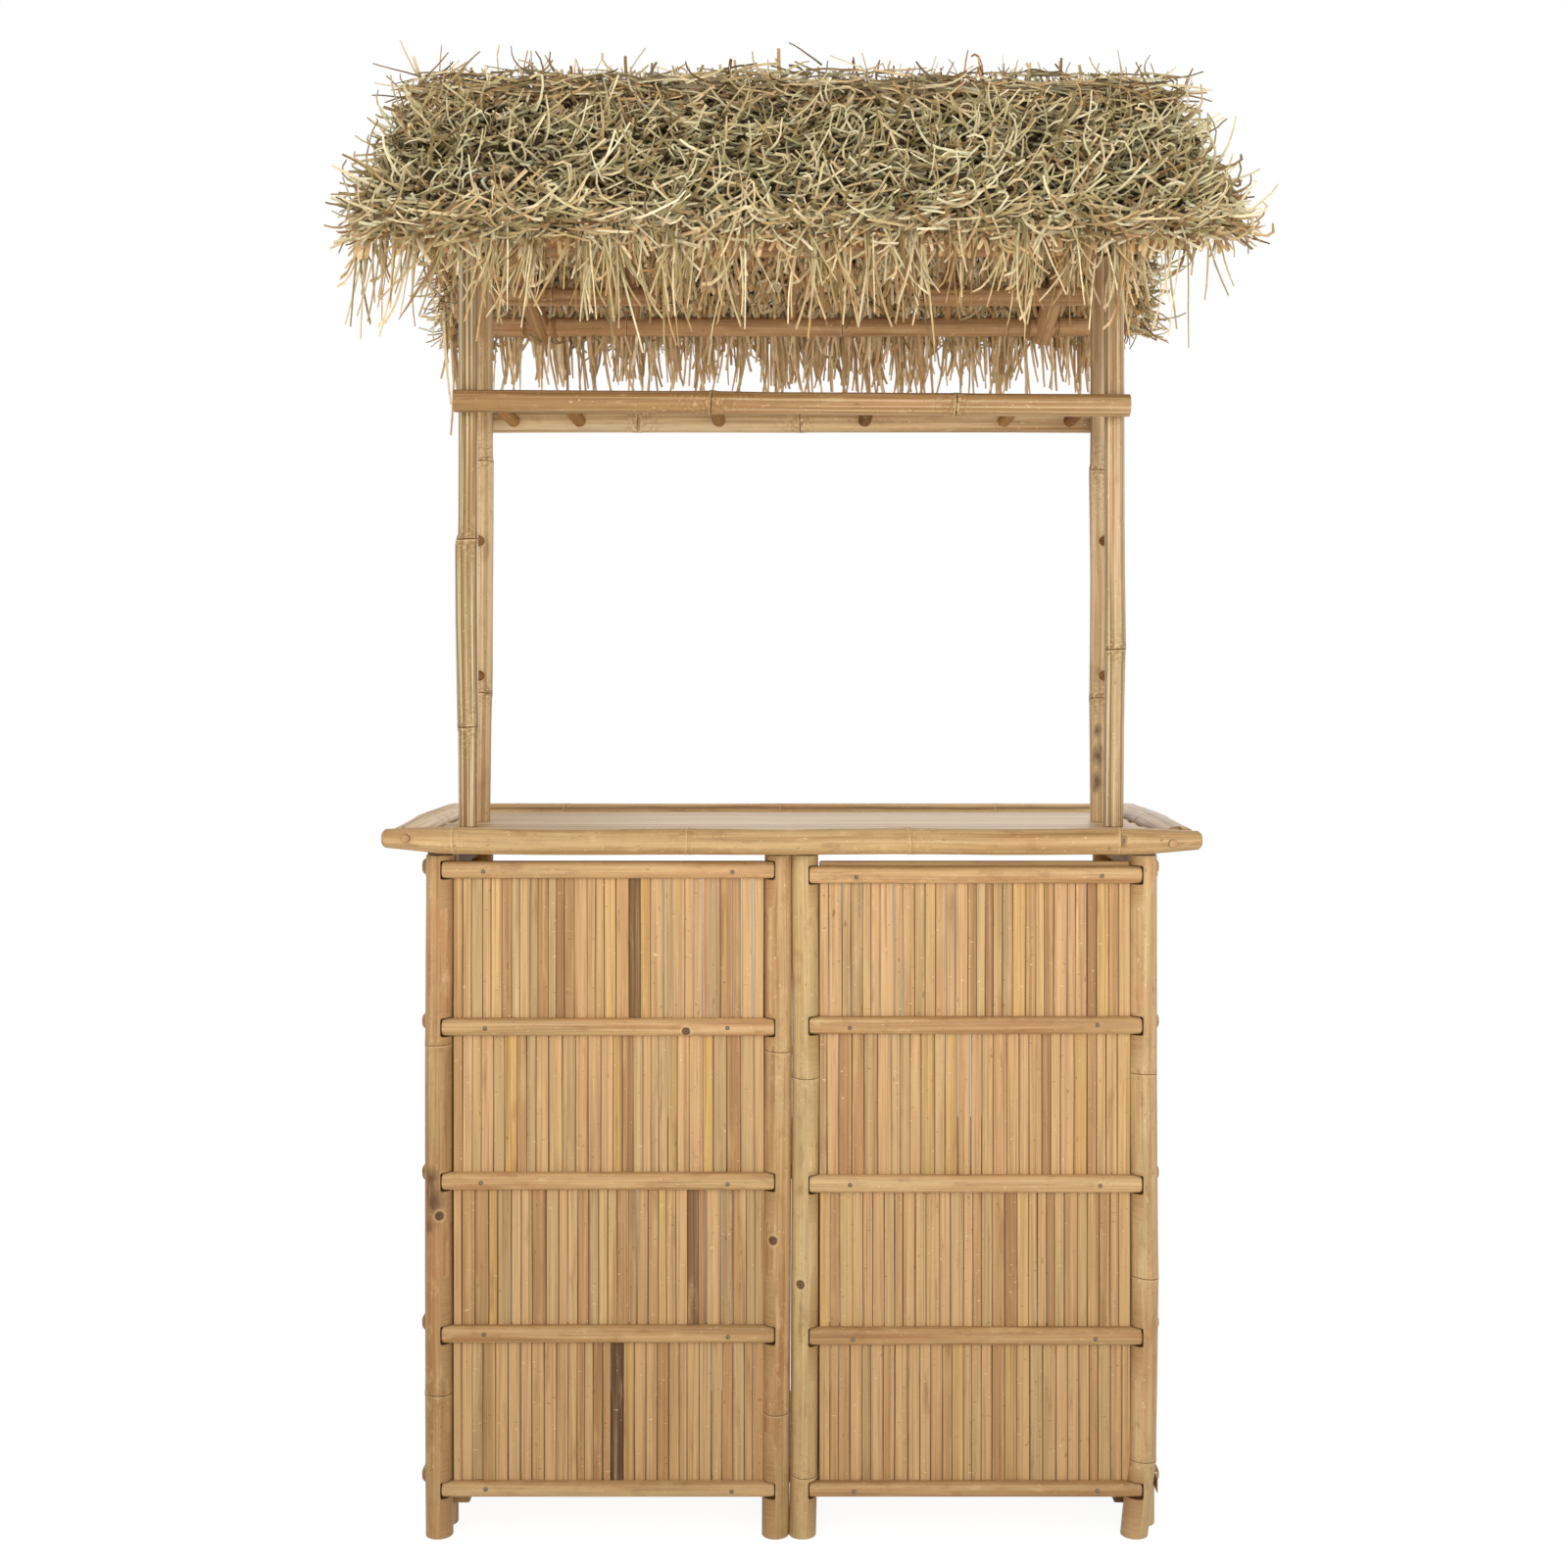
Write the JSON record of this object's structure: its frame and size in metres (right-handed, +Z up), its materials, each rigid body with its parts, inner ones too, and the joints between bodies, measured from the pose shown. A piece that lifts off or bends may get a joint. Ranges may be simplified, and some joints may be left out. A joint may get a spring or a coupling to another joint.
{
  "type": "tiki bar hut",
  "caption": "Bamboo tiki bar: slat-screened base with hinged side screens and inner shelves, slatted counter, uprights with a rack, and a lift-off thatched gable roof.",
  "frame": {"origin": "on the floor, under the middle of the ridge pole", "axes": "+Z up; the customers' side faces -Y; +X runs along the ridge, to the right of someone who faces the bar"},
  "size_m": [1.31, 0.9026, 2.2237],
  "materials": {
    "bamboo_culm": "satin, lightly varnished",
    "bamboo_batten": "satin, lightly varnished",
    "bamboo_slat": "matte, split bamboo",
    "bamboo_deck": "satin, split bamboo",
    "thatch": "matte dried grass",
    "hinge_steel": "dull zinc plate"
  },
  "bodies": {
    "base_front": {"front_left_batten_1": "bamboo_batten", "front_left_batten_2": "bamboo_batten", "front_left_batten_3": "bamboo_batten", "front_left_batten_4": "bamboo_batten", "front_left_batten_5": "bamboo_batten", "front_left_corner_post": "bamboo_culm", "front_left_middle_post": "bamboo_culm", "front_left_slats": "bamboo_slat", "front_right_batten_1": "bamboo_batten", "front_right_batten_2": "bamboo_batten", "front_right_batten_3": "bamboo_batten", "front_right_batten_4": "bamboo_batten", "front_right_batten_5": "bamboo_batten", "front_right_corner_post": "bamboo_culm", "front_right_middle_post": "bamboo_culm", "front_right_slats": "bamboo_slat", "left_bottom_hinge_post_leaf": "hinge_steel", "left_top_hinge_post_leaf": "hinge_steel", "lower_shelf": "bamboo_deck", "right_bottom_hinge_post_leaf": "hinge_steel", "right_top_hinge_post_leaf": "hinge_steel", "upper_shelf": "bamboo_deck"},
    "left_wing": {"left_bottom_hinge_wing_leaf": "hinge_steel", "left_top_hinge_wing_leaf": "hinge_steel", "left_wing_front_post": "bamboo_culm", "left_wing_rear_post": "bamboo_culm", "left_wing_screen": "bamboo_slat"},
    "right_wing": {"right_bottom_hinge_wing_leaf": "hinge_steel", "right_top_hinge_wing_leaf": "hinge_steel", "right_wing_front_post": "bamboo_culm", "right_wing_rear_post": "bamboo_culm", "right_wing_screen": "bamboo_slat"},
    "bar_top": {"counter_deck": "bamboo_deck", "counter_front_rim": "bamboo_culm", "counter_left_rim": "bamboo_culm", "counter_rear_rim": "bamboo_culm", "counter_right_rim": "bamboo_culm", "front_beam": "bamboo_culm", "left_front_upright": "bamboo_culm", "left_lower_rung": "bamboo_culm", "left_rear_upright": "bamboo_culm", "left_upper_rung": "bamboo_culm", "rack_rung_1": "bamboo_culm", "rack_rung_2": "bamboo_culm", "rack_rung_3": "bamboo_culm", "rack_rung_4": "bamboo_culm", "rack_rung_5": "bamboo_culm", "rack_rung_6": "bamboo_culm", "rear_beam": "bamboo_culm", "right_front_upright": "bamboo_culm", "right_lower_rung": "bamboo_culm", "right_rear_upright": "bamboo_culm", "right_upper_rung": "bamboo_culm"},
    "roof": {"front_roof_frame": "bamboo_culm", "front_thatch": "thatch", "rear_left_short_pole": "bamboo_culm", "rear_right_short_pole": "bamboo_culm", "rear_roof_frame": "bamboo_culm", "rear_thatch": "thatch", "ridge_pole": "bamboo_culm"}
  },
  "joints": [
    {"name": "left_wing_hinge", "type": "hinge", "parent": "base_front", "child": "left_wing", "pos_m": [-0.5509, -0.097, 0.5], "axis": [0, 0, 1], "range_deg": [0, 90]},
    {"name": "right_wing_hinge", "type": "hinge", "parent": "base_front", "child": "right_wing", "pos_m": [0.5509, -0.097, 0.5], "axis": [0, 0, -1], "range_deg": [0, 90]},
    {"name": "bar_top_lift", "type": "slide", "parent": "base_front", "child": "bar_top", "axis": [0, 0, 1], "range_m": [0, 0.15]},
    {"name": "roof_lift", "type": "slide", "parent": "bar_top", "child": "roof", "axis": [0, 0, 1], "range_m": [0, 0.25]}
  ]
}
